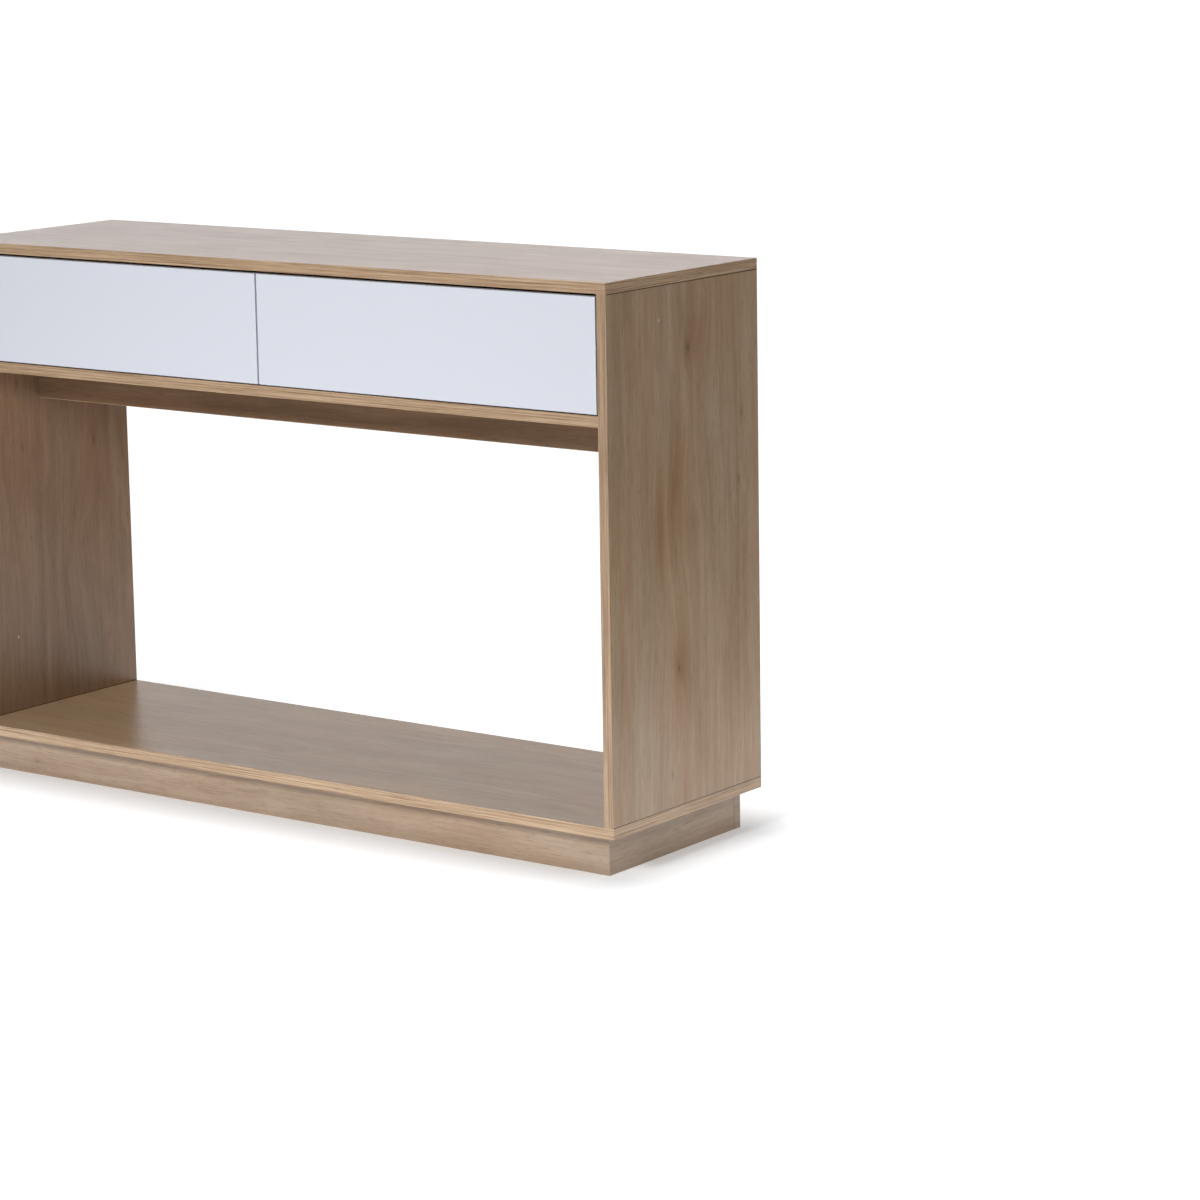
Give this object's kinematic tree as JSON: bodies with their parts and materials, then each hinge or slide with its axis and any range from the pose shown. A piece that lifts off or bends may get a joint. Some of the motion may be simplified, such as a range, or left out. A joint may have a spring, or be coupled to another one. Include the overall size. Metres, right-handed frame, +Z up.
{
  "type": "console table",
  "caption": "Long, shallow oak-look console table with flush white push-to-open drawers over an open bay and a recessed plinth.",
  "frame": {"origin": "on the floor, under the middle of the table's outer box", "axes": "+X along the length to the right as seen from the front, the front faces -Y, +Z up"},
  "size_m": [1.2, 0.35, 0.8],
  "materials": {
    "oak_panel": "satin melamine with a printed light oak grain",
    "oak_band": "satin edge band with a fine straight grain",
    "white_front": "satin white melamine",
    "white_band": "satin white edge band",
    "drawer_board": "matt white melamine",
    "hardboard": "painted hardboard",
    "runner_steel": "zinc-plated pressed steel",
    "screw_steel": "zinc plated",
    "fitting_zinc": "die-cast zinc",
    "beech": "plain beech",
    "spring_steel": "bright spring wire",
    "latch_plastic": "moulded grey plastic"
  },
  "bodies": {
    "carcass": {"back_panel": "hardboard", "bottom_panel": "oak_panel", "bottom_panel_edge_bands": "oak_band", "cam_bolts": "fitting_zinc", "cam_locks": "fitting_zinc", "centre_divider": "oak_panel", "centre_divider_edge_band": "oak_band", "confirmat_screws": "screw_steel", "drawer_shelf": "oak_panel", "drawer_shelf_edge_bands": "oak_band", "hardware_screws": "screw_steel", "left_cabinet_runner_members": "runner_steel", "left_latch_housing": "latch_plastic", "left_latch_spring": "spring_steel", "left_side_edge_bands": "oak_band", "left_side_panel": "oak_panel", "plinth_corner_blocks": "beech", "plinth_cross_brace": "oak_panel", "plinth_front_rail": "oak_panel", "plinth_left_rail": "oak_panel", "plinth_rear_rail": "oak_panel", "plinth_right_rail": "oak_panel", "plinth_screws": "screw_steel", "right_cabinet_runner_members": "runner_steel", "right_latch_housing": "latch_plastic", "right_latch_spring": "spring_steel", "right_side_edge_bands": "oak_band", "right_side_panel": "oak_panel", "stretcher_rail": "oak_panel", "stretcher_rail_edge_band": "oak_band", "top_panel": "oak_panel", "top_panel_edge_bands": "oak_band", "wooden_dowels": "beech"},
    "left_drawer": {"left_drawer_back_board": "drawer_board", "left_drawer_base": "hardboard", "left_drawer_cam_fittings": "fitting_zinc", "left_drawer_front": "white_front", "left_drawer_front_edge_bands": "white_band", "left_drawer_left_board": "drawer_board", "left_drawer_right_board": "drawer_board", "left_drawer_runner_members": "runner_steel", "left_drawer_screws": "screw_steel"},
    "left_intermediate_members": {"left_intermediate_runner_members": "runner_steel"},
    "left_cabinet_side_cages": {"left_cabinet_side_ball_cages": "runner_steel"},
    "left_drawer_side_cages": {"left_drawer_side_ball_cages": "runner_steel"},
    "left_latch_plunger": {"left_latch_plunger": "latch_plastic"},
    "right_drawer": {"right_drawer_back_board": "drawer_board", "right_drawer_base": "hardboard", "right_drawer_cam_fittings": "fitting_zinc", "right_drawer_front": "white_front", "right_drawer_front_edge_bands": "white_band", "right_drawer_left_board": "drawer_board", "right_drawer_right_board": "drawer_board", "right_drawer_runner_members": "runner_steel", "right_drawer_screws": "screw_steel"},
    "right_intermediate_members": {"right_intermediate_runner_members": "runner_steel"},
    "right_cabinet_side_cages": {"right_cabinet_side_ball_cages": "runner_steel"},
    "right_drawer_side_cages": {"right_drawer_side_ball_cages": "runner_steel"},
    "right_latch_plunger": {"right_latch_plunger": "latch_plastic"}
  },
  "joints": [
    {"name": "left_drawer_slide", "type": "slide", "parent": "carcass", "child": "left_drawer", "axis": [0, -1, 0], "range_m": [-0.003, 0.3]},
    {"name": "left_intermediate_members_slide", "type": "slide", "parent": "carcass", "child": "left_intermediate_members", "axis": [0, -1, 0], "range_m": [-0.0015, 0.15]},
    {"name": "left_cabinet_side_cages_slide", "type": "slide", "parent": "carcass", "child": "left_cabinet_side_cages", "axis": [0, -1, 0], "range_m": [-0.00075, 0.075]},
    {"name": "left_drawer_side_cages_slide", "type": "slide", "parent": "carcass", "child": "left_drawer_side_cages", "axis": [0, -1, 0], "range_m": [-0.00225, 0.225]},
    {"name": "left_latch_plunger_slide", "type": "slide", "parent": "carcass", "child": "left_latch_plunger", "axis": [0, -1, 0], "range_m": [-0.00012, 0.012], "deforming": ["left_latch_spring"]},
    {"name": "right_drawer_slide", "type": "slide", "parent": "carcass", "child": "right_drawer", "axis": [0, -1, 0], "range_m": [-0.003, 0.3]},
    {"name": "right_intermediate_members_slide", "type": "slide", "parent": "carcass", "child": "right_intermediate_members", "axis": [0, -1, 0], "range_m": [-0.0015, 0.15]},
    {"name": "right_cabinet_side_cages_slide", "type": "slide", "parent": "carcass", "child": "right_cabinet_side_cages", "axis": [0, -1, 0], "range_m": [-0.00075, 0.075]},
    {"name": "right_drawer_side_cages_slide", "type": "slide", "parent": "carcass", "child": "right_drawer_side_cages", "axis": [0, -1, 0], "range_m": [-0.00225, 0.225]},
    {"name": "right_latch_plunger_slide", "type": "slide", "parent": "carcass", "child": "right_latch_plunger", "axis": [0, -1, 0], "range_m": [-0.00012, 0.012], "deforming": ["right_latch_spring"]}
  ],
  "couplings": [
    {"joint": "left_intermediate_members_slide", "follows": "left_drawer_slide", "ratio": 0.5},
    {"joint": "left_cabinet_side_cages_slide", "follows": "left_drawer_slide", "ratio": 0.25},
    {"joint": "left_drawer_side_cages_slide", "follows": "left_drawer_slide", "ratio": 0.75},
    {"joint": "left_latch_plunger_slide", "follows": "left_drawer_slide", "ratio": 0.04},
    {"joint": "right_intermediate_members_slide", "follows": "right_drawer_slide", "ratio": 0.5},
    {"joint": "right_cabinet_side_cages_slide", "follows": "right_drawer_slide", "ratio": 0.25},
    {"joint": "right_drawer_side_cages_slide", "follows": "right_drawer_slide", "ratio": 0.75},
    {"joint": "right_latch_plunger_slide", "follows": "right_drawer_slide", "ratio": 0.04}
  ]
}
